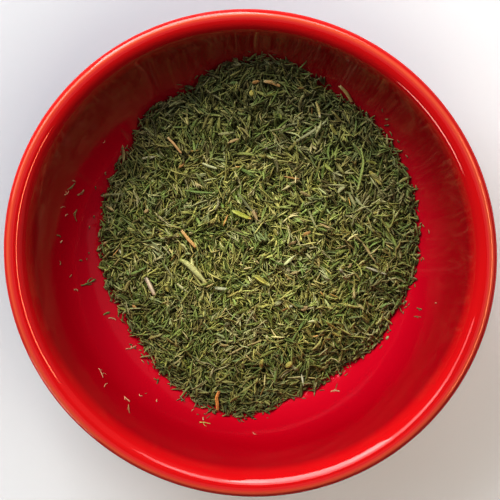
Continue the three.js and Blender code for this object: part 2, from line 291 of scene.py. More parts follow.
def herb_material(name, roughness=0.62):
    """Dry plant matter: each flake's own colour, mottled finely."""
    material, shader = new_material(name)
    tint = add_node(material, "Attribute", {}, attribute_name="tint").outputs["Color"]
    fine = noise(material, 2600, 3)
    mottle = ramp(material, fine, ((0.3, (0.7, 0.7, 0.66)), (0.72, (1.15, 1.13, 1.1))))
    set_inputs(material, shader, {
        "Base Color": blended(material, 1, tint, mottle, "MULTIPLY"),
        "Roughness": mapped(material, fine, 0, 1, roughness - 0.12, roughness + 0.12),
        "Specular IOR Level": 0.35,
        "Normal": bumps(material, fine, 0.45, 0.12),
    })
    return material


# ---- Bowl ----

WITHIN = 0.9998  # keeps the rounder visual bowl inside the frame's own
BOWL_SECTORS = 224
BARE_BELOW = 1.0  # the foot's resting face has no glaze


def arc_point(slope, inset=0.0):
    """A place on the bowl's inside, or inset from it, by how steep the wall is there."""
    reach = ARC_RADIUS - inset
    return (
        FLOOR_RADIUS + reach * math.sin(slope),
        FLOOR_HEIGHT + ARC_RADIUS - reach * math.cos(slope),
    )


def oval_points(centre, across, upward, start, end, steps):
    """Points along an oval, after its first point, between two angles in degrees."""
    angles = np.radians(np.linspace(start, end, steps + 1)[1:])
    return [(centre[0] + across * math.cos(a), centre[1] + upward * math.sin(a)) for a in angles]


def bezier(start, middle, end, steps):
    """The points between the ends of a quadratic curve."""
    points = []
    for share in np.linspace(0, 1, steps + 1)[1:-1]:
        a, b, c = (1 - share) ** 2, 2 * share * (1 - share), share**2
        points.append(tuple(a * p + b * q + c * r for p, q, r in zip(start, middle, end)))
    return points


def softened(corners, radius, steps):
    """An open line with each inner corner rounded by a short curve."""
    points = [corners[0]]
    for before, corner, after in zip(corners, corners[1:], corners[2:]):
        ends = []
        for other in (before, after):
            length = math.dist(corner, other)
            share = min(radius, 0.45 * length) / length
            ends.append(tuple(p + share * (q - p) for p, q in zip(corner, other)))
        points += [ends[0], *bezier(ends[0], corner, ends[1], steps), ends[1]]
    return points + [corners[-1]]


def bowl_profile():
    """The closed section from the middle of the floor out over the lip to the middle underneath."""
    inner = [arc_point(slope) for slope in np.linspace(0, WALL_SLOPE, 73)]
    top = inner[-1]
    centre = (
        top[0] + LIP_INNER_ROUND * math.sin(WALL_SLOPE),
        top[1] + LIP_INNER_ROUND * (1 - math.cos(WALL_SLOPE)) - LIP_OUTER_ROUND,
    )
    crest = (centre[0] - CREST_INSET, centre[1] + LIP_OUTER_ROUND)
    corner = (top[0] + (crest[1] - top[1]) / math.tan(WALL_SLOPE), crest[1])
    lip = [*bezier(top, corner, crest, 24), crest]
    shoulder = (crest[0], centre[1])
    lip += oval_points(shoulder, LIP_OUTER_ROUND + CREST_INSET, LIP_OUTER_ROUND, 90, 0, 16)
    lip += oval_points(centre, LIP_OUTER_ROUND, LIP_OUTER_ROUND, 0, -UNDERCUT, 8)

    foot_top = FOOT_RADIUS + FOOT_FLARE
    foot_slope = math.asin((foot_top - FLOOR_RADIUS) / (ARC_RADIUS + WALL_AT_FOOT))
    outside = []
    for share in np.linspace(0, 1, 49):
        slope = WALL_SLOPE + share * (foot_slope - WALL_SLOPE)
        outside.append(arc_point(slope, -(WALL_AT_LIP + share * (WALL_AT_FOOT - WALL_AT_LIP))))

    run = (outside[0][0] - lip[-1][0], outside[0][1] - lip[-1][1])
    length = math.hypot(*run)
    middle = (
        (lip[-1][0] + outside[0][0]) / 2 + NECK_HOLLOW * run[1] / length,
        (lip[-1][1] + outside[0][1]) / 2 - NECK_HOLLOW * run[0] / length,
    )
    neck = bezier(lip[-1], middle, outside[0], 8)

    inside = FOOT_RADIUS - FOOT_WIDTH
    foot = softened([
        outside[-2],
        outside[-1],
        (FOOT_RADIUS, FOOT_BEVEL),
        (FOOT_RADIUS - FOOT_BEVEL, 0.0),
        (inside + FOOT_BEVEL, 0.0),
        (inside, FOOT_BEVEL),
        (inside - FOOT_BEVEL, RECESS_EDGE),
        (inside / 2, RECESS_EDGE + 0.75 * (RECESS_CENTRE - RECESS_EDGE)),
        (0.0, RECESS_CENTRE),
    ], FOOT_ROUND, 4)
    return [(0.0, FLOOR_HEIGHT), *inner, *lip, *neck, *outside[:-2], *foot]


def add_bowl():
    profile = np.array(bowl_profile())
    radius, height = profile[1:-1, 0, None] * WITHIN, profile[1:-1, 1, None]
    x, y = at_angle(radius, round_angles(BOWL_SECTORS))
    points = np.stack([x, y, np.broadcast_to(height, x.shape)], -1).reshape(-1, 3)
    points = np.vstack([points, [(0, 0, profile[0, 1]), (0, 0, profile[-1, 1])]])
    faces, _ = sleeve(len(radius), BOWL_SECTORS)
    bowl = add_mesh("glazed_bowl", points, faces[:, ::-1])
    bowl.data.materials.append(glaze_material())
    bowl.data.materials.append(clay_material())
    heights = np.array([polygon.center.z for polygon in bowl.data.polygons])
    bare = heights < BARE_BELOW * MM
    bowl.data.polygons.foreach_set("material_index", bare.astype(np.int32))
    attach(bowl, "root")
    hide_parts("bowl")


# ---- The heap's form ----

def edge_height(azimuth):
    height = np.full(np.shape(azimuth), EDGE_HEIGHT)
    for centre, rise, width in CLIMBS:
        turn = (azimuth - centre + 540) % 360 - 180
        height = height + rise * np.exp(-((turn / width) ** 2))
    return height


def edge_height_at(x, y):
    """The height of the heap's edge on a place's side of the bowl."""
    return edge_height(np.degrees(np.arctan2(y, x)) % 360)


def wall_radius(height):
    cosine = 1 - (height - FLOOR_HEIGHT) / ARC_RADIUS
    return FLOOR_RADIUS + ARC_RADIUS * np.sqrt(1 - cosine**2)


def wall_height(x, y):
    share = np.clip((np.hypot(x, y) - FLOOR_RADIUS) / ARC_RADIUS, 0, 0.99)
    return FLOOR_HEIGHT + ARC_RADIUS * (1 - np.sqrt(1 - share**2))


def heap_top(x, y):
    edge = edge_height_at(x, y)
    share = np.hypot(x, y) / wall_radius(edge)
    wave = np.sin(x / 7.5 + 1.1) * np.cos(y / 8.3 - 0.4) + 0.6 * np.sin((x + y) / 5.1)
    return CROWN_HEIGHT + (edge - CROWN_HEIGHT) * share**3 + HOLLOWS * wave


def edge_gap(x, y):
    """How far inside the heap's edge a place is."""
    return wall_radius(edge_height_at(x, y)) - np.hypot(x, y)


def under_pixel(across, down):
    """The place on the heap that a pixel of the picture shows."""
    right, up, away = camera_axes()
    scale = SENSOR / PICTURE / CAMERA_LENS
    ray = scale * (across - PICTURE / 2) * right - scale * (down - PICTURE / 2) * up - away
    eye = CAMERA_AIM + CAMERA_DISTANCE * away
    spot = eye + ray * (CROWN_HEIGHT - eye.z) / ray.z
    for _ in range(4):
        spot = eye + ray * (float(heap_top(spot.x, spot.y)) - eye.z) / ray.z
    return spot.x, spot.y


# ---- Dropping flakes ----

CELL = 0.15  # of the height map that flakes come to rest on
REACH = 64.0  # half its width
BED_DEPTH = 3.2  # how far under the heap's top the first flakes fall
EDGE_SWELL, SWELL_WIDTH = 0.9, 6  # how much higher the loose flakes pile along the edge
STATIONS = 7  # along each flake
SHARE = np.linspace(-0.5, 0.5, STATIONS)

middles = np.arange(-REACH, REACH, CELL) + CELL / 2
grid_x, grid_y = np.meshgrid(middles, middles, indexing="ij")
swell = np.clip(1 - edge_gap(grid_x, grid_y) / SWELL_WIDTH, 0, 1) ** 2
target = heap_top(grid_x, grid_y) + EDGE_SWELL * swell
glaze = wall_height(grid_x, grid_y)
ground = np.maximum(target - BED_DEPTH, glaze)


def cells(x, y):
    """The rows and columns of the height map that places are in."""
    most = len(ground) - 1
    return tuple(np.clip(((c + REACH) / CELL).astype(int), 0, most) for c in (x, y))


def plan_lines(made):
    """The stations of each flake in plan: a line through x, y at its anchor, a station, that
    heads one way there and turns by bend and then twist along it."""
    anchor = made["anchor"]
    rows = np.arange(len(anchor))
    turn = made["bend"][:, None] * SHARE + made["twist"][:, None] * (SHARE**2 - 1 / 12) * 4
    turn += (made["heading"] - turn[rows, anchor])[:, None]
    middle = (turn[:, 1:] + turn[:, :-1]) / 2
    step = (made["length"] / (STATIONS - 1))[:, None]
    zero = np.zeros((len(rows), 1))
    line_x = np.concatenate([zero, np.cumsum(step * np.cos(middle), 1)], 1)
    line_y = np.concatenate([zero, np.cumsum(step * np.sin(middle), 1)], 1)
    line_x += (made["x"] - line_x[rows, anchor])[:, None]
    line_y += (made["y"] - line_y[rows, anchor])[:, None]
    return line_x, line_y, turn


def rest_line(line_x, line_y, limp):
    """Heights at which flakes come to rest: each lies across the two highest points either side
    of its middle, and then sags towards what is under it by the share limp."""
    low = ground[cells(line_x, line_y)]
    half = STATIONS // 2
    best = np.full(len(low), -np.inf)
    slope = np.zeros(len(low))
    for i in range(half + 1):
        for j in range(max(half, i + 1), STATIONS):
            rise = (low[:, j] - low[:, i]) / (SHARE[j] - SHARE[i])
            middle = low[:, i] - rise * SHARE[i]
            better = middle > best
            best = np.where(better, middle, best)
            slope = np.where(better, rise, slope)
    straight = best[:, None] + slope[:, None] * SHARE
    lifted = np.maximum(straight, low)
    sagged = low + (1 - limp[:, None]) * (lifted - low)
    # A smooth curve through the sagged line, lifted clear of most of what is under it.
    basis = np.stack([np.ones(STATIONS), SHARE, SHARE**2, SHARE**3], 1)
    smooth = sagged @ np.linalg.pinv(basis).T @ basis.T
    smooth += 0.6 * np.maximum(low - smooth, 0).max(1)[:, None]
    return smooth


def read_along(values, shares):
    """Values at the stations of each flake, read at other shares, 0 to 1, of its length."""
    fine = np.asarray(shares) * (values.shape[1] - 1)
    before = np.minimum(fine.astype(int), values.shape[1] - 2)
    part = fine - before
    if values.ndim == 3:
        part = part[:, None]
    return values[:, before] * (1 - part) + values[:, before + 1] * part


def spread_points(line_x, line_y, line_z, width, count, offsets):
    """Points all over each flake: count along it, at offsets across its width."""
    shares = np.linspace(0, 1, count)
    x, y, z = (read_along(line, shares) for line in (line_x, line_y, line_z))
    run_x, run_y = np.gradient(x, axis=1), np.gradient(y, axis=1)
    shift = width[:, None] / (np.hypot(run_x, run_y) + 1e-9)
    across = np.array(offsets)[:, None, None]
    z = np.broadcast_to(z, (len(offsets), *z.shape))
    return x - across * shift * run_y, y + across * shift * run_x, z


class Heap:
    """Flakes at rest, gathered batch by batch."""

    def __init__(self):
        self.parts = []
        self.bare = np.zeros(ground.shape, bool)  # where no more flakes may lie

    def drop(self, made):
        """Lays one batch on the ground, and raises the ground to the flakes' tops."""
        line_x, line_y, _ = plan_lines(made)
        low = rest_line(line_x, line_y, made["limp"])
        # A leaflet hangs from its stem at its first station.
        stem, joint = made["stem"], made["joint"]
        held = np.flatnonzero(stem >= 0)
        gap = low[stem[held], joint[held]] - low[held, 0]
        low[held] += gap[:, None] * (0.5 - SHARE) ** 2
        low += made["lift"][:, None] * (SHARE + 0.5) ** 3
        clear = ~self.bare[cells(line_x, line_y)].any(1)
        top = np.where(clear[:, None], low + 0.85 * made["thickness"][:, None], 0)
        x, y, z = spread_points(line_x, line_y, top, made["width"], 30, (-0.4, -0.2, 0.0, 0.2, 0.4))
        np.maximum.at(ground, cells(x, y), z)
        middle = low + 0.5 * made["thickness"][:, None]
        depth = target[cells(made["x"], made["y"])] - middle[:, STATIONS // 2]
        line = np.stack([line_x, line_y, middle], -1)
        self.parts.append({"line": line, "depth": depth, "clear": clear, **made})

    def flakes(self):
        return {key: np.concatenate([part[key] for part in self.parts]) for key in self.parts[0]}


VIEWS = [(0, 90)] + [(azimuth, 38) for azimuth in range(0, 360, 45)]  # with elevations, in degrees
VIEW_CELL = 0.2
LEAST_SEEN = 4  # points of a flake that show


def seen(flakes):
    """Which flakes show from above or from any side, by depth maps along several directions."""
    lines = np.moveaxis(flakes["line"], 2, 0)
    points = np.stack(spread_points(*lines, flakes["width"], 12, (-0.35, 0.0, 0.35)), -1)
    shown = np.zeros(len(flakes["width"]), bool)
    for azimuth, elevation in VIEWS:
        near, right = toward(azimuth, elevation), toward(azimuth + 90, 0)
        i, j = (
            ((c - c.min()) / VIEW_CELL).astype(int)
            for c in (points @ right, points @ np.cross(near, right))
        )
        depth = points @ near
        nearest = np.full((i.max() + 1, j.max() + 1), -np.inf)
        np.maximum.at(nearest, (i, j), depth)
        shown |= (depth > nearest[i, j] - VIEW_CELL).sum((0, 2)) >= LEAST_SEEN
    return shown


def pick(flakes, chosen):
    return {key: value[chosen] for key, value in flakes.items()}


# ---- Meshes of flakes ----

def axes_along(line):
    """At each point of lines, the unit vectors along the line, level across it, and up from it."""
    along = np.gradient(line, axis=-2)
    along /= np.linalg.norm(along, axis=-1, keepdims=True)
    side = np.stack([-along[..., 1], along[..., 0], np.zeros(along.shape[:-1])], -1)
    side /= np.linalg.norm(side, axis=-1, keepdims=True)
    return along, side, np.cross(along, side)


def tubes(flakes, shares, sides, ridge=0.0):
    """Vertices, faces, tints and UVs of pointed flakes with a ring of corners at each inner share
    of their length. A ridge makes every other corner stand out, by that part of the width."""
    line = read_along(flakes["line"], shares)
    _, side, up = axes_along(line)
    shares = np.asarray(shares)
    roll = flakes["roll"][:, None] + flakes["wring"][:, None] * (shares - 0.5)
    roll = roll[..., None]
    across = np.cos(roll) * side + np.sin(roll) * up
    over = np.cos(roll) * up - np.sin(roll) * side

    inner = shares[1:-1]
    rings, count = len(inner), len(line)
    blunt = flakes["blunt"][:, None]
    # Each flake is widest a little before its middle. A blunt one narrows only near its ends.
    profile = np.sin(math.pi * inner[None, :] ** 0.8) ** (0.9 - 0.6 * blunt)
    wide = 0.6 * flakes["width"][:, None] * profile
    thick = 0.6 * flakes["thickness"][:, None] * profile
    angles = round_angles(sides, 0.5)
    odd = (-1.0) ** np.arange(sides)
    out = 1 + ridge * odd
    ring = (
        line[:, 1:-1, None, :]
        + wide[..., None, None] * (out * np.cos(angles))[:, None] * across[:, 1:-1, None, :]
        + thick[..., None, None] * (out * np.sin(angles))[:, None] * over[:, 1:-1, None, :]
    )
    points = np.concatenate([ring.reshape(count, -1, 3), line[:, :1], line[:, -1:]], 1)
    faces, places = sleeve(rings, sides)
    faces = faces[None] + (np.arange(count) * points.shape[1])[:, None, None]

    fade = np.concatenate([np.repeat(np.abs(2 * inner - 1) ** 2, sides), [1, 1]])[None, :, None]
    tip = flakes["tip"][:, None, :]
    tints = flakes["tint"][:, None, :] * (1 - fade * 0.5) + tip * fade * 0.5
    # On picked flakes the standing ridges are painted lighter and the grooves darker: painted light and
    # shade along the flake.
    if ridge:
        ridge_light_and_shade = np.concatenate([np.tile(1 + 1.2 * ridge * odd, rings), [1, 1]])
        tints = tints * ridge_light_and_shade[None, :, None]
    return points.reshape(-1, 3), faces.reshape(-1, 3), tints.reshape(-1, 3), places


def add_parts(name, parts, material, *nodes):
    """One piece of vertices, faces, tints and UVs, in parts that tubes or strip returned."""
    points, faces, tints, places = zip(*parts)
    starts = np.cumsum([0] + [len(part) for part in points])
    faces = np.concatenate([part + start for part, start in zip(faces, starts)])
    piece = add_mesh(name, np.concatenate(points), faces)
    paint(piece, np.clip(np.concatenate(tints), 0, 1))
    layer = piece.data.uv_layers.new(name="OFBake")
    places = np.concatenate([part.reshape(-1, 2) for part in places])
    layer.data.foreach_set("uv", places.astype(np.float32).ravel())
    piece.data.materials.append(material)
    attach(piece, "root")
    if nodes:
        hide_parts(*nodes)
    return piece


SMALL, MIDDLING = 1.5, 2.9  # lengths that need only two rings, and only three
FINE_SHARES = np.array((0, 0.04, 0.1, 0.2, 0.32, 0.44, 0.56, 0.68, 0.8, 0.9, 0.96, 1))


def add_flakes(name, flakes, material, *nodes):
    """One piece of many flakes. Each flake has a small place of its own in the UV map."""
    length, picked = flakes["length"], flakes["picked"]
    groups = (
        (~picked & (length < SMALL), (0, 1 / 3, 2 / 3, 1), 4, 0.0),
        (~picked & (length >= SMALL) & (length < MIDDLING), (0, 1 / 6, 1 / 2, 5 / 6, 1), 4, 0.0),
        (~picked & (length >= MIDDLING), np.linspace(0, 1, STATIONS), 4, 0.0),
        (picked, FINE_SHARES, 10, 0.1),
    )
    columns = math.ceil(math.sqrt(len(length)))
    parts, placed = [], 0
    for chosen, shares, sides, ridge in groups:
        count = int(chosen.sum())
        if count:
            *part, places = tubes(pick(flakes, chosen), shares, sides, ridge)
            cell = np.arange(placed, placed + count)
            corner = np.stack([cell % columns, cell // columns], -1)[:, None, None, :]
            parts.append((*part, (corner + 0.06 + 0.88 * places) / columns))
            placed += count
    return add_parts(name, parts, material, *nodes)


# ---- Kinds of flake ----

# Colours of the dry herb, as the share of red, green and blue light that they give back.
HERB_TINTS = np.array((
    (0.375, 0.350, 0.105),  # olive
    (0.245, 0.297, 0.080),  # green
    (0.158, 0.200, 0.055),  # deep green
    (0.228, 0.262, 0.115),  # blue green
    (0.440, 0.412, 0.205),  # grey olive
    (0.330, 0.282, 0.105),  # brown olive
    (0.145, 0.122, 0.060),  # dark brown
    (0.445, 0.435, 0.125),  # yellow green
    (0.555, 0.490, 0.235),  # straw
))
HERB_SHARES = np.array((25, 19, 14, 9, 14, 7, 4, 5, 3)) / 100
STRAW_TINTS = np.array(((0.56, 0.48, 0.20), (0.44, 0.42, 0.14), (0.55, 0.32, 0.10), (0.57, 0.52, 0.27)))
STRAW_SHARES = np.array((38, 40, 8, 14)) / 100
DRY_TIP = np.array((0.44, 0.40, 0.17))

PATCH_WAVES = rng.normal(0, 0.32, (2, 3, len(HERB_TINTS)))
PATCH_TURNS = rng.uniform(0, 2 * math.pi, (3, len(HERB_TINTS)))
COMB_WAVES = rng.normal(0, 0.16, (2, 4))
COMB_TURNS = rng.uniform(0, 2 * math.pi, 4)


BRIGHTEST = 1.28  # of a flake over its kind's tint


def varied(tints):
    """Tints that differ a little in colour and more in brightness. The paler, the greyer."""
    glow = np.minimum(rng.lognormal(0.02, 0.2, (len(tints), 1)), BRIGHTEST)
    tints = tints * glow * rng.normal(1, 0.04, (len(tints), 3))
    tints[:, 2] *= np.clip(0.45 + 1.7 * tints[:, 1], 0.55, 1.08)
    return tints


def tone_and_painted_shade(x, y):
    """How bright the herb's colour is: palest in the middle and darkest at the back, and greener outward.
    The darkening outward is partly the paler crumbs in the middle and partly painted shade; the darkening
    at the back, in the rim's shadow, and at the front is painted shade.
    """
    outward = np.clip(np.hypot(x - 1, y + 4) / 52, 0, 1)
    # Painted shade at the back, where the rim's shadow falls, and at the front, where the heap slopes
    # away from the light.
    back = np.clip((y - 0.3 * x) / 45, 0, 1)
    front_shade = np.clip((-y - 28) / 25, 0, 1)
    level = 1.26 - 0.72 * outward**2 - 0.10 * back - 0.18 * front_shade
    greening = outward[:, None] ** 2 * (0.06, 0, 0.2)
    return level[:, None] * (1 - greening)


def waves_at(x, y, waves, turns):
    """Slow random waves over the heap, added up."""
    return np.sin(np.tensordot(np.stack([x, y], 1), waves, 1) + turns).sum(1)


def herb_tints(x, y):
    """Tints for leaflets. Each tint gathers in loose patches."""
    gathered = 0.75 * waves_at(x, y, PATCH_WAVES, PATCH_TURNS)
    luck = rng.gumbel(0, 1, gathered.shape)
    tints = HERB_TINTS[np.argmax(np.log(HERB_SHARES) + gathered + luck, 1)]
    # Dimmed outward, at the back and at the front: partly painted shade.
    return varied(tints) * tone_and_painted_shade(x, y)


def straw_tints(count):
    return varied(STRAW_TINTS[rng.choice(len(STRAW_TINTS), count, p=STRAW_SHARES)])


def coarseness(x, y):
    """0 where the heap is of crumbs, left of its middle, to 1 where it is of whole leaflets."""
    return np.clip(np.hypot(x + 14, y + 8) / 46, 0, 1)


def shorter_at_edge(x, y, start, least):
    """The share of their length that flakes keep: start at the heap's edge, and more inside."""
    return np.clip(start + 0.09 * edge_gap(x, y), least, 1)


def headings(x, y):
    """Ways that flakes lie: half at random, half combed in loose swathes, and along the edge
    of the heap where they are near it."""
    count = len(x)
    combed = 1.3 * waves_at(x, y, COMB_WAVES, COMB_TURNS) + rng.normal(0, 0.3, count)
    heading = np.where(rng.random(count) < 0.5, combed, rng.uniform(0, 2 * math.pi, count))
    round_edge = np.arctan2(y, x) + math.pi / 2 + rng.normal(0, 0.55, count)
    near = rng.random(count) < 0.9 - 0.2 * edge_gap(x, y)
    return np.where(near, round_edge, heading)


def needles(x, y):
    """Thread-like leaflets, the most of the dill."""
    count = len(x)
    coarse = coarseness(x, y)
    long = rng.random(count) < 0.12 + 0.3 * coarse
    long_ones, short_ones = rng.uniform(3.4, 7.5, count), rng.uniform(1.3, 3.2, count)
    length = np.where(long, long_ones, short_ones * (0.85 + 0.4 * coarse))
    length *= shorter_at_edge(x, y, 0.55, 0.45)
    width = rng.lognormal(math.log(0.42), 0.25, count) * (0.9 + 0.35 * coarse) * np.where(long, 1.15, 1.0)
    return {
        "x": x,
        "y": y,
        "heading": headings(x, y),
        "anchor": np.full(count, STATIONS // 2),
        "stem": np.full(count, -1),
        "joint": np.zeros(count, int),
        "length": length,
        "width": width,
        "thickness": width * rng.uniform(0.35, 0.7, count),
        "bend": rng.normal(0, 0.55, count),
        "twist": rng.normal(0, 0.3, count),
        "lift": np.maximum(rng.normal(-0.1, 0.4, count), 0),
        "limp": rng.uniform(0.2, 0.7, count),
        "roll": rng.normal(0, 0.45, count),
        "wring": rng.normal(0, 0.8, count),
        "blunt": rng.random(count),
        "tint": herb_tints(x, y),
        "tip": np.tile(DRY_TIP, (count, 1)),
        "picked": np.zeros(count, bool),
    }


def leaf_bits(x, y):
    """Broader flat scraps of leaf and sheath."""
    made, count = needles(x, y), len(x)
    long = rng.random(count) < 0.4
    return made | {
        "length": np.where(long, rng.uniform(3.0, 6.5, count), rng.uniform(1.4, 3.2, count)),
        "width": rng.uniform(0.7, 1.4, count),
        "thickness": rng.uniform(0.16, 0.3, count),
        "bend": rng.normal(0, 0.35, count),
        "limp": rng.uniform(0.2, 0.6, count),
        "roll": rng.normal(0, 0.35, count),
    }


def straws(x, y):
    """Straight bits of stem."""
    made, count = needles(x, y), len(x)
    length, width = rng.uniform(1.8, 5.0, count), rng.uniform(0.35, 0.65, count)
    return made | {
        "length": length,
        "width": width,
        "thickness": width * 0.8,
        "bend": rng.normal(0, 0.12, count),
        "limp": rng.uniform(0.0, 0.2, count),
        "blunt": np.ones(count),
        # Dimmed like the leaflets: partly painted shade.
        "tint": straw_tints(count) * tone_and_painted_shade(x, y),
    }


def dust(x, y):
    """Crumbs of leaf that sift among the rest."""
    made, count = needles(x, y), len(x)
    length, width = rng.uniform(0.6, 1.6, count), rng.uniform(0.25, 0.55, count)
    return made | {"length": length, "width": width, "thickness": width * 0.6}


def sprigs(x, y, leaflets, angles, joints, lengths):
    """Stems with leaflets, which come off at angles to one side and the other."""
    stems, count = needles(x, y), len(x)
    stems["length"] = rng.uniform(2.6, 7.0, count) * shorter_at_edge(x, y, 0.5, 0.4)
    stems["width"] = rng.uniform(0.36, 0.65, count)
    line_x, line_y, turn = plan_lines(stems)
    count *= leaflets
    stem = np.repeat(np.arange(len(x)), leaflets)
    joint = rng.integers(*joints, count)
    made = needles(line_x[stem, joint], line_y[stem, joint])
    side = np.where(rng.random(count) < 0.5, -1, 1)
    made |= {
        "heading": turn[stem, joint] + side * np.radians(rng.uniform(*angles, count)),
        "anchor": np.zeros(count, int),
        "stem": stem,
        "joint": joint,
        "length": rng.uniform(*lengths, count) * shorter_at_edge(made["x"], made["y"], 0.5, 0.4),
        "bend": -side * rng.uniform(0, 0.7, count),
        "tint": stems["tint"][stem] * rng.normal(1, 0.1, (count, 1)),
    }
    return {key: np.concatenate([stems[key], made[key]]) for key in stems}


PICK_GLOW = 0.7  # of a picked flake over its tint, and again of its tip
PICK_TINTS = dict(
    pale=(0.52, 0.51, 0.24),
    grey=(0.40, 0.40, 0.20),
    green=(0.27, 0.37, 0.10),
    bright=(0.37, 0.40, 0.09),
    olive=(0.40, 0.38, 0.12),
    tan=(0.58, 0.46, 0.20),
    yellow=(0.62, 0.54, 0.14),
    orange=(0.64, 0.36, 0.12),
    peach=(0.64, 0.47, 0.22),
    white=(0.64, 0.60, 0.40),
    rust=(0.36, 0.13, 0.06),
)
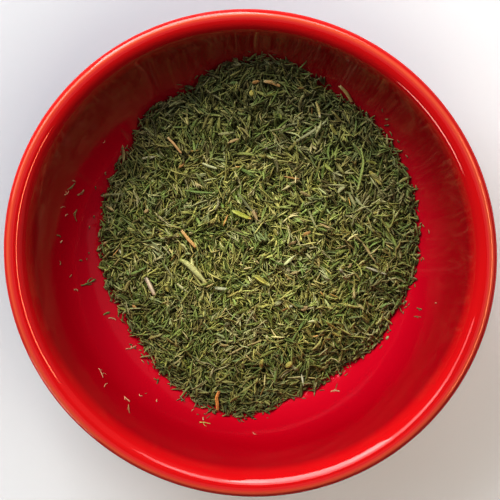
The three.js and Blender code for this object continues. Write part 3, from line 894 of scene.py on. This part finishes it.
# Flakes that stand out, where the photograph shows them: the pixels of one end and the other, the
# width in millimetres, how far the flake turns along its length in radians, and its tint.
PICKS = dict(
    grey_green_blade=(238, 193, 252, 212, 1.1, 0.2, "grey"),
    peach_node=(251, 208, 258, 220, 1.3, 0, "peach"),
    node_dot=(253, 212, 257, 214, 0.8, 0, "rust"),
    yellow_crescent=(285, 201, 299, 206, 1.1, 0.7, "bright"),
    thin_curve=(303, 205, 314, 201, 0.5, -0.6, "pale"),
    bright_blade_middle=(324, 208, 318, 222, 0.9, 0.2, "bright"),
    pale_long_blade=(308, 208, 317, 229, 0.8, 0.2, "pale"),
    orange_crumb=(302, 236, 311, 232, 1.2, 0.3, "orange"),
    pale_orange_crumb=(289, 244, 297, 241, 1.2, 0.2, "peach"),
    tan_stick=(252, 258, 260, 264, 0.8, 0, "tan"),
    green_blade_low=(274, 262, 290, 266, 1.2, -0.2, "green"),
    yellow_green_blade=(290, 249, 305, 246, 1.1, 0.2, "bright"),
    yellow_brown_blade=(290, 274, 299, 271, 1.0, 0, "tan"),
    seed_blob=(274, 229, 277, 236, 1.5, 0, "yellow"),
    deep_yellow_blob=(250, 95, 256, 90, 1.8, 0, "yellow"),
    orange_chip_back=(252, 83, 260, 81, 1.2, 0, "orange"),
    curved_stem_back=(280, 88, 268, 109, 0.6, -0.4, "green"),
    bright_bits_back=(267, 96, 279, 92, 0.9, 0.3, "bright"),
    bright_blade_back=(281, 109, 281, 120, 0.9, 0.1, "bright"),
    long_strip_upper=(292, 139, 318, 123, 0.7, 0.2, "green"),
    long_strip_middle=(296, 142, 328, 121, 0.9, 0.2, "grey"),
    long_strip_lower=(299, 146, 326, 127, 0.7, 0.1, "green"),
    strand_left=(269, 131, 286, 126, 0.6, 0.1, "pale"),
    strand_right=(285, 126, 308, 121, 0.6, 0.1, "grey"),
    back_stem_upper=(296, 72, 308, 60, 0.5, 0.1, "green"),
    back_stem_lower=(300, 74, 314, 74, 0.5, 0.1, "green"),
    orange_left=(132, 305, 137, 308, 0.9, 0, "orange"),
    orange_upper_left=(179, 168, 185, 162, 0.9, 0, "orange"),
    white_upper_left=(142, 159, 156, 157, 1.0, 0.4, "white"),
    pale_blade_back=(219, 134, 234, 132, 1.0, 0.1, "pale"),
    peach_blade_back=(228, 142, 240, 138, 0.9, 0, "peach"),
    green_chip_left=(158, 216, 164, 210, 1.3, 0, "bright"),
    peach_crumb_left=(144, 213, 149, 209, 1.1, 0, "peach"),
    thin_green_blade=(183, 190, 219, 194, 0.7, 0.2, "green"),
    wide_olive_blade=(207, 132, 213, 117, 1.5, 0.1, "olive"),
    bright_leaf_back=(236, 152, 262, 156, 1.0, -0.4, "bright"),
    green_blade_back=(239, 167, 256, 178, 1.1, 0, "green"),
    rusty_thread=(284, 176, 300, 179, 0.6, 0.2, "orange"),
    white_dot_back=(264, 147, 268, 148, 0.9, 0, "white"),
    left_edge_leaf=(124, 162, 124, 144, 1.1, 0.2, "tan"),
    left_leaf=(104, 203, 115, 212, 1.1, 0.2, "tan"),
    tan_blade=(300, 191, 311, 197, 1.3, 0, "tan"),
    pink_chip=(324, 190, 331, 192, 0.9, 0, "peach"),
    right_blade_one=(335, 162, 345, 175, 1.1, 0.2, "olive"),
    right_blade_two=(323, 163, 334, 171, 1.1, 0.1, "bright"),
    right_blade_three=(366, 161, 377, 164, 1.0, 0, "bright"),
    olive_leaf=(369, 171, 382, 185, 1.4, 0.1, "yellow"),
    leaf_stem=(370, 177, 377, 187, 0.6, 0, "pale"),
    pale_crumple=(337, 192, 347, 184, 1.3, -0.7, "pale"),
    right_edge_blade=(399, 182, 411, 176, 1.1, 0.1, "olive"),
    grey_blade_right=(355, 197, 363.5, 207, 1.0, 0, "grey"),
    tipped_blade=(349, 193, 356, 207, 1.0, 0, "pale"),
    tan_stem_upper=(353.5, 234, 363.5, 243, 0.8, 0, "tan"),
    tan_stem_lower=(363, 242, 376, 262, 0.8, 0, "tan"),
    peach_thread=(319, 223.5, 334, 226.5, 0.6, 0.2, "peach"),
    round_seed=(225, 324, 230, 324, 1.5, 0, "grey"),
    yellow_leaf_low=(236, 314, 250, 308, 1.2, 0.2, "bright"),
    loop_left=(210, 321, 217, 312, 0.8, -1, "pale"),
    loop_right=(216, 312, 224, 319, 0.8, -1, "pale"),
    pale_triangle=(274, 305, 283, 301, 1.5, 0, "pale"),
    red_stick=(282, 310, 290, 306.5, 0.9, 0, "orange"),
    red_stick_end=(289, 307, 293, 305, 0.8, 0, "white"),
    peach_knob=(301, 310, 309, 306, 1.4, 0, "peach"),
    green_bend_upper=(305, 320, 298, 331, 0.9, 0, "green"),
    green_bend_lower=(298, 331, 292, 341, 0.9, 0.2, "green"),
    tan_blade_low=(263, 357, 259, 373, 1.3, 0.2, "yellow"),
    bright_blade_low=(276, 350, 259, 357, 1.0, 0.3, "bright"),
    tan_chip_low=(286, 367, 293, 361, 1.6, 0, "yellow"),
    green_blade_edge=(276.5, 369, 275, 382.5, 1.1, 0, "green"),
    white_thread_low=(301, 373, 304, 385, 0.7, 0, "white"),
    low_straw_right=(228, 355, 244, 347, 0.7, 0.1, "tan"),
    low_straw_left=(217, 346, 230, 344, 0.7, 0, "tan"),
    olive_low_upper=(242, 379, 256, 377, 0.9, 0, "olive"),
    olive_low_edge=(237.5, 396, 255, 383, 0.9, 0.2, "olive"),
    yellow_stick=(366, 267.5, 387, 274, 0.75, 0, "white"),
    pale_bend_left=(391, 279, 397.5, 278, 0.7, 0, "pale"),
    pale_bend_right=(397, 278, 405, 283, 0.7, 0, "pale"),
    bright_leaf_right=(336, 254, 347, 250, 1.1, 0.2, "bright"),
    tan_straw_right=(335, 249.5, 347, 245, 0.7, 0, "tan"),
    peach_crumb_right=(348, 268, 352, 263, 1.1, 0, "peach"),
    white_bit_right=(340, 267, 343.5, 272.5, 0.9, 0, "white"),
    white_bit_edge=(399.7, 250, 400.7, 259, 0.9, 0, "pale"),
    tan_fork_stem=(353, 287, 355, 298, 1.0, 0, "tan"),
    green_fork_left=(355, 297, 348, 312, 0.8, 0.2, "green"),
    green_fork_right=(354, 298, 358, 312, 0.8, -0.2, "green"),
    yellow_blade_one=(326, 320, 339, 330.5, 0.9, 0, "yellow"),
    yellow_blade_two=(332, 332, 340, 336, 0.9, 0, "yellow"),
    green_tip_right=(380, 308, 387.5, 302.5, 0.9, 0, "green"),
    pale_tip_right=(403, 304, 407, 300, 0.9, 0, "pale"),
    pale_tip_low=(386, 338, 389, 335, 0.9, 0, "pale"),
    grey_blade_left=(109.5, 194.5, 130, 194.5, 0.9, 0.1, "grey"),
    grey_stem_upper=(153, 244, 166, 256.5, 0.6, 0.1, "grey"),
    grey_stem_lower=(164.5, 264, 175, 279.5, 0.6, 0.1, "grey"),
    white_bit_left=(118, 249.5, 124, 255.7, 0.9, 0, "white"),
    green_bend_left=(126, 270, 129.5, 275, 0.9, 0, "green"),
    green_bend_right=(129.5, 275, 147, 266.5, 0.9, 0.1, "green"),
    yellow_chip_left=(166, 285.6, 168.7, 291.3, 1.0, 0, "yellow"),
    peach_bit_left=(104, 244, 108, 241, 0.9, 0, "peach"),
)


def picked():
    """The picked flakes, ready to be dropped."""
    rows = list(PICKS.values())
    count = len(rows)
    starts, ends = (np.array([under_pixel(*row[k:k + 2]) for row in rows]) for k in (0, 2))
    run = ends - starts
    width, bend = np.array([row[4:6] for row in rows]).T
    tint = PICK_GLOW * np.array([PICK_TINTS[row[6]] for row in rows])
    return needles(*((starts + ends) / 2).T) | {
        "heading": np.arctan2(run[:, 1], run[:, 0]),
        "length": np.hypot(*run.T),
        "bend": bend,
        "width": 0.85 * width,
        "thickness": 0.28 * width,
        "twist": rng.normal(0, 0.1, count),
        "lift": np.zeros(count),
        "limp": rng.uniform(0.1, 0.5, count),
        "roll": rng.normal(0, 0.3, count),
        "wring": rng.normal(0, 0.5, count),
        "tint": tint,
        "tip": PICK_GLOW * tint,
        "picked": np.ones(count, bool),
    }


KINDS = (  # share of the places in a batch, and what falls there
    (0.47, needles),
    (0.08, lambda x, y: sprigs(x, y, 3, (18, 45), (1, 5), (1.1, 3.0))),
    (0.09, lambda x, y: sprigs(x, y, 3, (4, 16), (0, 3), (2.4, 5.5))),
    (0.075, leaf_bits),
    (0.03, straws),
    (0.255, dust),
)


def mixed(x, y):
    """One batch at the given places, with every kind in its share."""
    kinds, start, before = [], 0, 0
    for share, make in KINDS:
        end = start + round(share * len(x))
        if end > start:
            kind = make(x[start:end], y[start:end])
            kind["stem"] = np.where(kind["stem"] >= 0, kind["stem"] + before, -1)
            before += len(kind["x"])
            kinds.append(kind)
        start = end
    return {key: np.concatenate([kind[key] for kind in kinds]) for key in kinds[0]}


# ---- Cuttings that show ----

STRIP_SIDES = 14
STRIP_STEPS = 30
TORN_LENGTH = 0.9  # of each end
WANDER = 0.06  # of a strip's spine, as a part of its width
RIDGES, LUMPS = 0.14, 0.05  # how unevenly its sides stand out, all along and from step to step


def smoothed(values):
    for _ in range(4):
        values[1:-1] = (values[:-2] + 2 * values[1:-1] + values[2:]) / 4
    return values


def read_at(shares, knots, rows):
    """Rows of numbers, one a knot, read at other shares of the way."""
    return np.stack([np.interp(shares, knots, column) for column in np.transpose(rows)], -1)


def scatter(*shape, limit=np.inf):
    """Random numbers round 0, within a limit."""
    return rng.normal(0, 1, shape).clip(-limit, limit)


def strip(line, radii, tint, tips=None, flat=0.6, fold=0.0, fray=0.5, grain=0.22):
    """One fibrous strip along a line: ridged lengthwise, and broken unevenly across at its ends.
    flat is its thickness over its width, and fold lifts its edges, both as parts of its width."""
    knots, shares = np.linspace(0, 1, len(line)), np.linspace(0, 1, STRIP_STEPS)
    spine = smoothed(read_at(shares, knots, line))
    wide = smoothed(np.interp(shares, knots, radii))[:, None]
    wander = WANDER * np.max(radii) * np.cumsum(rng.normal(0, 0.5, (STRIP_STEPS - 2, 3)), 0)
    spine[1:-1] += wander / math.sqrt(STRIP_STEPS) * 2
    length = np.linalg.norm(np.diff(spine, axis=0), axis=1).sum()
    along, side, up = axes_along(spine)
    angles = round_angles(STRIP_SIDES, 0.5)
    ridges = 1 + RIDGES * scatter(STRIP_SIDES, limit=1.5)
    radius = wide * (ridges + LUMPS * scatter(STRIP_STEPS, STRIP_SIDES))
    lift = fold * wide * np.abs(np.cos(angles)) ** 1.5
    start, end = (np.maximum(1 - s * length / TORN_LENGTH, 0) for s in (shares, 1 - shares))
    broken = fray * wide * rng.uniform(-1, 1, STRIP_SIDES) * (start - end)[:, None]
    points = (
        spine[:, None]
        + (radius * np.cos(angles))[..., None] * side[:, None]
        + (radius * flat * np.sin(angles) + lift)[..., None] * up[:, None]
        + broken[..., None] * along[:, None]
    ).reshape(-1, 3)
    ends = spine[0] + 0.3 * radii[0] * along[0], spine[-1] - 0.3 * radii[-1] * along[-1]

    fibres = 1 + grain * scatter(STRIP_SIDES, limit=1.6)
    bands = 1 + 0.08 * scatter(STRIP_STEPS, STRIP_SIDES)
    first, last = tips or (tint, tint)
    stops = np.array([first, tint, tint, last])
    tints = read_at(shares, (0, 0.25, 0.75, 1), stops)[:, None] * (fibres * bands)[..., None]
    tints = np.vstack([tints.reshape(-1, 3), 0.45 * stops[[0, 3]]])
    faces, places = sleeve(STRIP_STEPS, STRIP_SIDES)
    return np.vstack([points, ends]), faces, tints, places * 0.96 + 0.02


def side_by_side(parts):
    """The parts with their UV maps in columns, so that they share one map."""
    return [(*part, (places + (n, 0)) / (len(parts), 1)) for n, (*part, places) in enumerate(parts)]


CUTTING_LIFT = 0.6  # of a cutting's middle over the heap's top

# Each cutting: plan points with half widths, then how it looks.
PALE, FRESH, ORANGE = (0.68, 0.66, 0.29), (0.48, 0.50, 0.15), (0.54, 0.31, 0.09)
CUTTINGS = dict(
    forked_blade=(
        ((-23.2, -4.2, 0.5), (-21.8, -4.9, 0.7), (-20.2, -5.9, 0.85), (-18.2, -7.8, 1.0),
         (-16.4, -9.7, 0.75), (-15.0, -11.2, 0.45), (-14.0, -12.0, 0.25)),
        dict(flat=0.4, fold=0.3, tint=PALE, tips=(FRESH, ORANGE), fray=1.0, grain=0.25),
    ),
    pink_stick=(
        ((-34.4, -10.2, 0.5), (-32.8, -13.3, 0.65), (-31.3, -16.2, 0.5)),
        dict(flat=0.7, tint=(0.62, 0.51, 0.36), tips=((0.65, 0.57, 0.44), (0.47, 0.33, 0.20)), fray=0.8),
    ),
    orange_stick=(
        ((-22.6, 5.0, 0.4), (-20.4, 2.2, 0.55), (-18.0, -0.2, 0.5)),
        dict(flat=0.85, tint=(0.72, 0.44, 0.17), tips=((0.71, 0.47, 0.21), (0.56, 0.29, 0.10)), fray=0.8),
    ),
    pale_chip=(
        ((-12.0, -12.9, 0.45), (-10.2, -13.1, 0.6), (-8.4, -13.3, 0.4)),
        dict(flat=0.35, fold=0.2, tint=(0.60, 0.61, 0.38), fray=0.8),
    ),
    bright_leaf=(
        ((-6.6, 11.8, 0.3), (-4.9, 11.2, 0.6), (-3.2, 10.5, 0.7), (-1.6, 9.8, 0.5), (-0.4, 9.4, 0.2)),
        dict(flat=0.3, fold=0.45, tint=(0.39, 0.40, 0.07), tips=(FRESH, ORANGE), grain=0.3),
    ),
    chaff_flake=(
        ((-0.1, -8.8, 0.4), (1.4, -9.3, 0.75), (2.6, -10.2, 0.85), (4.0, -11.1, 0.6), (5.5, -11.8, 0.35)),
        dict(flat=0.4, fold=0.5, tint=(0.60, 0.56, 0.14), tips=(FRESH, PALE), fray=1.0, grain=0.35),
    ),
    orange_straw=(
        ((-26.7, 34.5, 0.35), (-24.5, 32.2, 0.45), (-22.3, 29.5, 0.35)),
        dict(tint=(0.47, 0.29, 0.12), tips=((0.42, 0.31, 0.15), (0.38, 0.23, 0.10))),
    ),
    straw_stick=(
        ((26.8, 51.2, 0.4), (29.0, 48.8, 0.5), (30.5, 46.0, 0.4)),
        dict(flat=0.8, tint=(0.49, 0.39, 0.14), tips=((0.57, 0.49, 0.24), (0.44, 0.30, 0.11))),
    ),
    short_straw=(
        ((3.7, 52.5, 0.4), (6.2, 52.1, 0.55), (8.5, 51.0, 0.4)),
        dict(flat=0.7, tint=(0.51, 0.32, 0.13), tips=((0.54, 0.42, 0.21), (0.46, 0.28, 0.10))),
    ),
    yellow_straw=(
        ((19.5, 46.0, 0.35), (20.3, 43.6, 0.45), (20.7, 41.3, 0.35)),
        dict(tint=(0.38, 0.33, 0.13), tips=((0.34, 0.30, 0.11), (0.48, 0.46, 0.34))),
    ),
    pale_straw=(
        ((-15.7, 26.5, 0.35), (-13.6, 25.6, 0.45), (-11.3, 25.0, 0.35)),
        dict(tint=(0.43, 0.43, 0.24)),
    ),
    green_stem=(
        ((33.4, 31.7, 0.35), (34.3, 27.4, 0.42), (33.4, 22.4, 0.42), (32.5, 18.6, 0.35)),
        dict(flat=0.85, tint=(0.33, 0.40, 0.12), tips=((0.30, 0.38, 0.12), (0.40, 0.42, 0.16))),
    ),
    edge_stick=(
        ((-10.8, -46.3, 0.4), (-11.7, -48.3, 0.5), (-11.5, -50.2, 0.5), (-11.4, -52.6, 0.4)),
        dict(flat=0.8, tint=(0.66, 0.28, 0.075), tips=((0.57, 0.27, 0.09), (0.52, 0.22, 0.065))),
    ),
)
FORK = (  # the forked blade's short tines, at its top and at its foot
    ((-19.4, -3.6, 0.15), (-19.4, -4.8, 0.35), (-18.9, -6.6, 0.5)),
    ((-15.3, -12.2, 0.12), (-15.6, -11.2, 0.3), (-16.4, -9.8, 0.4)),
)


def laid(plan):
    """A cutting's plan points with its heights, clear of the heap and of the glaze."""
    x, y, radius = np.array(plan).T
    height = np.maximum(heap_top(x, y) + CUTTING_LIFT, wall_height(x, y) + radius + 0.1)
    return np.stack([x, y, height], -1), radius


def lay_cuttings(heap):
    """Raises the ground to the tops of the cuttings, so that flakes settle against them, and
    keeps all but their ends bare."""
    for plan in [points for points, _ in CUTTINGS.values()] + list(FORK):
        line, radii = laid(plan)
        knots, shares = np.linspace(0, 1, len(line)), np.linspace(0, 1, 80)
        x, y, z = read_at(shares, knots, line).T
        radius = np.interp(shares, knots, radii)
        run_x, run_y = np.gradient(x), np.gradient(y)
        run = np.hypot(run_x, run_y)
        for offset in np.linspace(-1, 1, 9):
            i, j = cells(x - offset * radius * run_y / run, y + offset * radius * run_x / run)
            np.maximum.at(ground, (i, j), z + 0.4 * radius)
            heap.bare[i[6:-6], j[6:-6]] = True


def add_cuttings(material):
    for name, (plan, look) in CUTTINGS.items():
        plans = [plan, *FORK] if name == "forked_blade" else [plan]
        parts = side_by_side([strip(*laid(plan), **look) for plan in plans])
        piece = add_parts(name + "_cutting", parts, material, name)


# ---- Stray flakes on the glaze ----

STRAY_TINTS = dict(
    olive=(0.20, 0.19, 0.06),
    green=(0.15, 0.19, 0.06),
    brown=(0.30, 0.17, 0.07),
    pink=(0.52, 0.32, 0.18),
    yellow=(0.44, 0.40, 0.11),
)
STRAYS = (  # from, to, half width in the frame, and tint, in the order of the frame's strays
    ((-57.4, 18.4), (-55.4, 20.2), 0.40, "olive"),
    ((-58.3, 16.8), (-57.1, 18.0), 0.40, "pink"),
    ((-54.9, 16.2), (-53.2, 17.6), 0.40, "brown"),
    ((-55.4, 11.6), (-55.6, 7.8), 0.35, "olive"),
    ((-54.5, -12.8), (-50.9, -11.5), 0.50, "green"),
    ((-48.0, -22.8), (-46.3, -22.2), 0.45, "olive"),
    ((-46.6, -24.0), (-44.4, -24.8), 0.35, "pink"),
    ((-40.9, -33.8), (-38.0, -33.2), 0.35, "pink"),
    ((-48.1, -38.2), (-46.7, -40.8), 0.35, "pink"),
    ((-40.1, -46.9), (-38.4, -48.4), 0.35, "pink"),
    ((-38.6, -49.2), (-38.0, -51.4), 0.35, "brown"),
    ((-16.7, -55.9), (-13.3, -56.4), 0.40, "yellow"),
    ((50.6, -21.1), (52.7, -20.8), 0.35, "brown"),
    ((51.4, -18.4), (52.9, -18.5), 0.40, "olive"),
    ((24.6, -46.4), (27.4, -46.0), 0.40, "pink"),
)
SPECKS = (  # places of the finest crumbs on the glaze
    (-59.9, 3.4), (-59.9, 1.5), (-60.2, -5.4), (-57.1, -8.9), (-55.4, -14.4), (-53.3, -4.4),
    (-54.4, -5.2), (-58.3, 12.8), (-58.5, 9.9), (-55.1, 20.6), (-46.1, 33.6), (-46.8, 22.0),
    (-47.2, -39.6), (-45.2, -42.6), (-33.6, -46.9), (-30.4, -48.9), (-35.9, -46.9),
    (-18.8, -52.4), (-15.8, -54.6), (0.3, -58.6), (56.9, -15.7), (48.3, -18.5), (40.1, 43.4),
    (41.7, 41.2),
)


def thread(start, heading, length, bow, radii, tint, tips=None):
    """A thin strip on the glaze from a start in plan, bowed to one side."""
    shares = np.linspace(0, 1, len(radii))
    aside = bow * length * np.sin(math.pi * shares)
    x = start[0] + shares * length * math.cos(heading) - aside * math.sin(heading)
    y = start[1] + shares * length * math.sin(heading) + aside * math.cos(heading)
    line = np.stack([x, y, wall_height(x, y) + np.max(radii) * 0.7 + 0.02], -1)
    return strip(line, radii, tint, tips, fray=1.0)


def stray_parts(start, end, radius, tint):
    """A stray flake with a torn thread or two at its side."""
    tint = np.array(STRAY_TINTS[tint])
    tips = (1.3 * tint, 1.15 * tint)
    length = math.dist(start, end)
    heading = math.atan2(end[1] - start[1], end[0] - start[0])
    radii = 0.6 * radius * rng.uniform(0.45, 1.1, 6)
    parts = [thread(start, heading, length, rng.uniform(-0.15, 0.15), radii, tint, tips)]
    for _ in range(rng.integers(1, 3)):
        share, side = rng.uniform(0.1, 0.6), rng.choice((-1, 1))
        root = [a + share * (b - a) for a, b in zip(start, end)]
        turn = heading + side * rng.uniform(0.25, 0.8)
        reach = length * rng.uniform(0.25, 0.5)
        fine = radius * np.array((0.35, 0.3, 0.25, 0.12))
        parts.append(thread(root, turn, reach, 0.2 * side, fine, tint, tips))
    return parts


def speck(place):
    """One of the finest crumbs, as a short thread that lies any way."""
    tint = STRAY_TINTS[rng.choice(("pink", "brown", "olive"), p=(0.6, 0.25, 0.15))]
    radii = rng.uniform(0.12, 0.24) * np.array((0.6, 1.0, 0.7))
    heading, length = rng.uniform(0, 2 * math.pi), rng.uniform(0.5, 1.3)
    return thread(place, heading, length, rng.uniform(-0.3, 0.3), radii, tint)


def add_strays():
    """The stray flakes and the specks."""
    material = herb_material("stray_herb")
    for number, stray in enumerate(STRAYS, 1):
        parts = side_by_side(stray_parts(*stray))
        piece = add_parts(f"stray_flake_{number:02d}", parts, material, f"stray_{number:02d}")
    piece = add_parts("glaze_specks", side_by_side([speck(place) for place in SPECKS]), material)


# ---- The heap ----

BATCH = 150
TRIES = 8  # places that are looked at for each one that is used
LUCK = 0.35  # how loosely the lowest places are chosen
MOST_BATCHES = 420
DROP_RADIUS = 62
BED_REACH = 0.95  # of the heap's own radius
BED_SECTORS, BED_RINGS = 144, 40
BED_UNDERSIDE = 2  # over the bowl's floor
EDGE_THIN = 0.15  # dill thinner than this over the glaze stays bare
FIRST_LAYER = 0.45  # how much the heap still lacks when the cuttings fall
LAST_LAYER = 0.22  # and when the picked flakes fall
STRAGGLERS = 150  # small flakes that lie along the edge and a little outside it
STRAY_FROM, STRAY_BY, STRAY_MOST = -0.4, 0.9, 3.5  # how far outside, least, commonly and at most
FLAKE_PIECES = 5
# The flakes deep in the heap are painted darker, as painted shade in the gaps between them.
GAP_SHADE_FROM, GAP_SHADE_OVER = 0.2, 1.6  # the depths over which the flakes darken
PAINTED_GAP_SHADE = (0.32, 0.32, 0.75)
# Near black: painted shade under and between the loose flakes.
BED_SHADE_TINT = (0.07, 0.075, 0.027)


def drop_stragglers(heap):
    angle = rng.uniform(0, 2 * math.pi, STRAGGLERS)
    edge = wall_radius(edge_height(np.degrees(angle)))
    radius = edge + np.minimum(rng.exponential(STRAY_BY, STRAGGLERS), STRAY_MOST) + STRAY_FROM
    made = dust(*at_angle(radius, angle))
    made["length"] *= 1.25
    made["lift"] *= 0
    heap.drop(made)


def drop_heap():
    """Rains batches of flakes where the heap is still lowest, until it has its form."""
    heap = Heap()
    waiting = [(FIRST_LAYER, lambda: lay_cuttings(heap)), (LAST_LAYER, lambda: heap.drop(picked()))]
    for _ in range(MOST_BATCHES):
        radius = DROP_RADIUS * np.sqrt(rng.random(TRIES * BATCH))
        angle = rng.uniform(0, 2 * math.pi, TRIES * BATCH)
        x, y = at_angle(radius, angle)
        here = cells(x, y)
        lack = target[here] - np.maximum(ground[here], glaze[here] + EDGE_THIN)
        inside = target[here] > glaze[here] + 1
        if waiting and lack[inside].mean() < waiting[0][0]:
            waiting.pop(0)[1]()
            continue
        if lack[inside].mean() < 0:
            break
        lack += rng.normal(0, LUCK, len(lack))
        order = np.argsort(-lack)[:BATCH]
        order = rng.permutation(order[lack[order] > 0])
        heap.drop(mixed(x[order], y[order]))
    drop_stragglers(heap)
    flakes = heap.flakes()
    flakes = pick(flakes, flakes["clear"])
    return pick(flakes, seen(flakes) | flakes["picked"])


def add_heap():
    flakes = drop_heap()
    # Flakes that lie deep between the others are painted darker, the blue most, as painted shade in the
    # gaps.
    gap_shade = np.clip((flakes["depth"] - GAP_SHADE_FROM) / GAP_SHADE_OVER, 0, 1)
    for key in ("tint", "tip"):
        flakes[key] = flakes[key] * (1 - gap_shade[:, None] * PAINTED_GAP_SHADE)
    material = herb_material("herb")
    for part in range(FLAKE_PIECES):
        chosen = np.arange(len(flakes["width"])) % FLAKE_PIECES == part
        piece = add_flakes(f"dill_flakes_{part + 1}", pick(flakes, chosen), material, "dill_heap")
    add_cuttings(herb_material("cut_stems", 0.5))


def add_bed():
    """The close mass under the loose flakes, out to where the heap thins over the glaze, painted near
    black as the shade under and between them.
    """
    angles = round_angles(BED_SECTORS)
    edge = BED_REACH * wall_radius(edge_height(np.degrees(angles)))
    points = []
    for share in np.arange(1, BED_RINGS + 1) / BED_RINGS:
        x, y = at_angle(share * edge, angles)
        top, wall = heap_top(x, y), wall_height(x, y)
        points += list(zip(x, y, top - np.minimum(BED_DEPTH - 1, 0.7 * (top - wall))))
    points += list(zip(x, y, wall + 0.1))
    points += [(0, 0, heap_top(0, 0) - BED_DEPTH), (0, 0, FLOOR_HEIGHT + BED_UNDERSIDE)]
    faces, _ = sleeve(BED_RINGS + 1, BED_SECTORS)
    bed = add_mesh("dill_bed", points, faces[:, ::-1])
    paint(bed, np.tile(BED_SHADE_TINT, (len(points), 1)))
    bed.data.materials.append(herb_material("herb_bed", 0.8))
    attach(bed, "root")
    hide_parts("dill_heap")


# ---- Lights and floor ----

SKY, COOL, WARM = (0.95, 0.975, 1.0), (0.97, 0.98, 1.0), (1.0, 0.98, 0.95)
# Soft panels that face the bowl. Each has its azimuth and elevation and the width and height that
# it spans as the bowl sees it, in degrees, then its colour, its radiance and its distance in metres.
LAMPS = {
    "window": (117, 38, 38, 28, SKY, 13.6, 1.6),
    "window_left": (82, 44, 32, 12, COOL, 5.5, 1.6),
    "window_right": (155, 44, 38, 12, COOL, 5.0, 1.6),
    "window_glow": (118, 59, 60, 14, COOL, 6.5, 1.6),
    "strip_glow": (346, 59, 44, 5, (1.0, 0.66, 0.36), 21.0, 1.6),
    "side": (30, 42, 100, 44, WARM, 0.38, 1.6),
    "side_edge": (16, 42, 76, 9, WARM, 2.4, 1.6),
    "overhead": (250, 80, 18, 18, (1.0, 0.98, 0.96), 0.9, 1.6),
    "glint": (222, 17, 22, 11, (1.0, 0.96, 0.80), 9.0, 1.6),
    "floor_fill": (328, 69, 44, 44, (1.0, 0.85, 0.70), 4.7, 0.45),
}
GLOSS_ONLY = ("window_glow", "strip_glow", "glint")
NOT_IN_GLOSS = ("side_edge",)
FLOOR_ONLY = ("floor_fill",)
ROUND_LAMPS = ("glint",)
ROOM_COLOUR, ROOM_GLOW = (1.0, 0.99, 0.98, 1), 0.03
FLOOR_SIZE = 6000.0
FLOOR_COLOUR = (0.535, 0.558, 0.582, 1)


def add_lamp(name, azimuth, elevation, width, height, colour, glow, distance):
    data = bpy.data.lights.new(name, "AREA")
    data.shape = "ELLIPSE" if name in ROUND_LAMPS else "RECTANGLE"
    data.size, data.size_y = (2 * distance * math.tan(math.radians(a / 2)) for a in (width, height))
    data.color = colour
    data.energy = math.pi * data.size * data.size_y * glow
    lamp = bpy.data.objects.new(name, data)
    away = Vector(toward(azimuth, elevation))
    lamp.location = distance * away
    lamp.rotation_euler = away.to_track_quat("Z", "Y").to_euler()
    lamp.visible_diffuse = name not in GLOSS_ONLY
    lamp.visible_glossy = name not in NOT_IN_GLOSS
    bpy.context.collection.objects.link(lamp)
    if name in FLOOR_ONLY:
        lit = bpy.data.collections.new(name)
        lit.objects.link(bpy.data.objects["floor"])
        lamp.light_linking.receiver_collection = lit


def add_room():
    """The faint even light from all round."""
    world = bpy.data.worlds.new("room")
    world.use_nodes = True
    back = world.node_tree.nodes["Background"]
    back.inputs["Color"].default_value = ROOM_COLOUR
    back.inputs["Strength"].default_value = ROOM_GLOW
    bpy.context.scene.world = world


def add_floor():
    signs = ((-1, -1), (1, -1), (1, 1), (-1, 1))
    corners = [(x * FLOOR_SIZE / 2, y * FLOOR_SIZE / 2, 0) for x, y in signs]
    floor = add_mesh("floor", corners, [(0, 1, 2, 3)])
    material, shader = new_material("pale_table")
    look = {"Base Color": FLOOR_COLOUR, "Roughness": 0.75, "Specular IOR Level": 0.2}
    set_inputs(material, shader, look)
    floor.data.materials.append(material)


add_camera()
add_bowl()
add_heap()
add_bed()
add_strays()
add_floor()
add_room()
for name, setting in LAMPS.items():
    add_lamp(name, *setting)
view = bpy.context.scene.view_settings
view.view_transform = "Standard"
view.gamma, view.exposure = 0.8, -0.12
